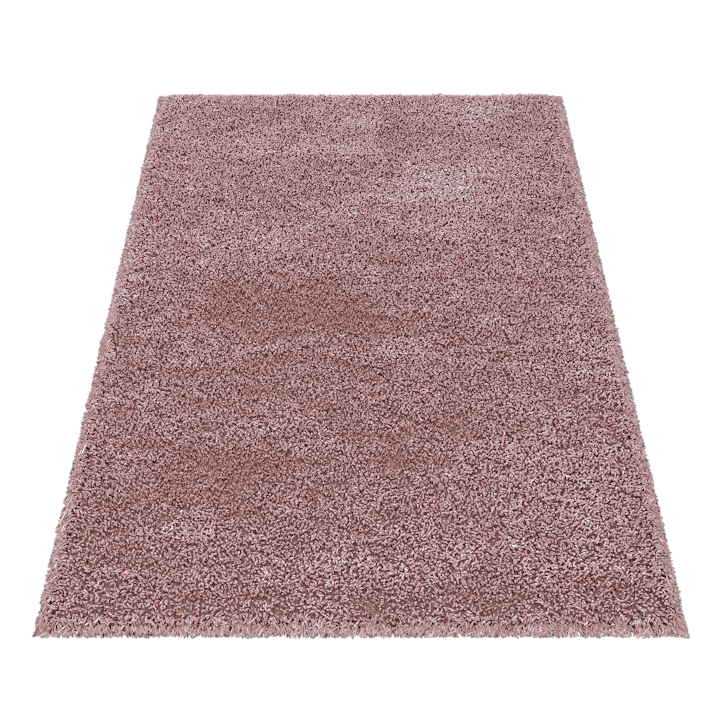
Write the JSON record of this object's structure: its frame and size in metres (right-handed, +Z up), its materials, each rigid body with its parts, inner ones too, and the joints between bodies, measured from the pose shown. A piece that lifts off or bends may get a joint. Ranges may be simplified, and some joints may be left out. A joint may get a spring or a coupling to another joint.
{
  "type": "shag rug",
  "caption": "Rectangular shag rug with long cut pile, lumpy on top, whose locks of yarn hang over the rim and lie on the floor.",
  "frame": {"origin": "middle of the underside, on the floor", "axes": "+X along the width, +Y along the length, +Z up out of the pile"},
  "size_m": [1.6, 2.3, 0.0487],
  "materials": {
    "dusty_rose_pile": "matt long cut pile"
  },
  "bodies": {
    "root": {"rug": "dusty_rose_pile"}
  },
  "joints": []
}
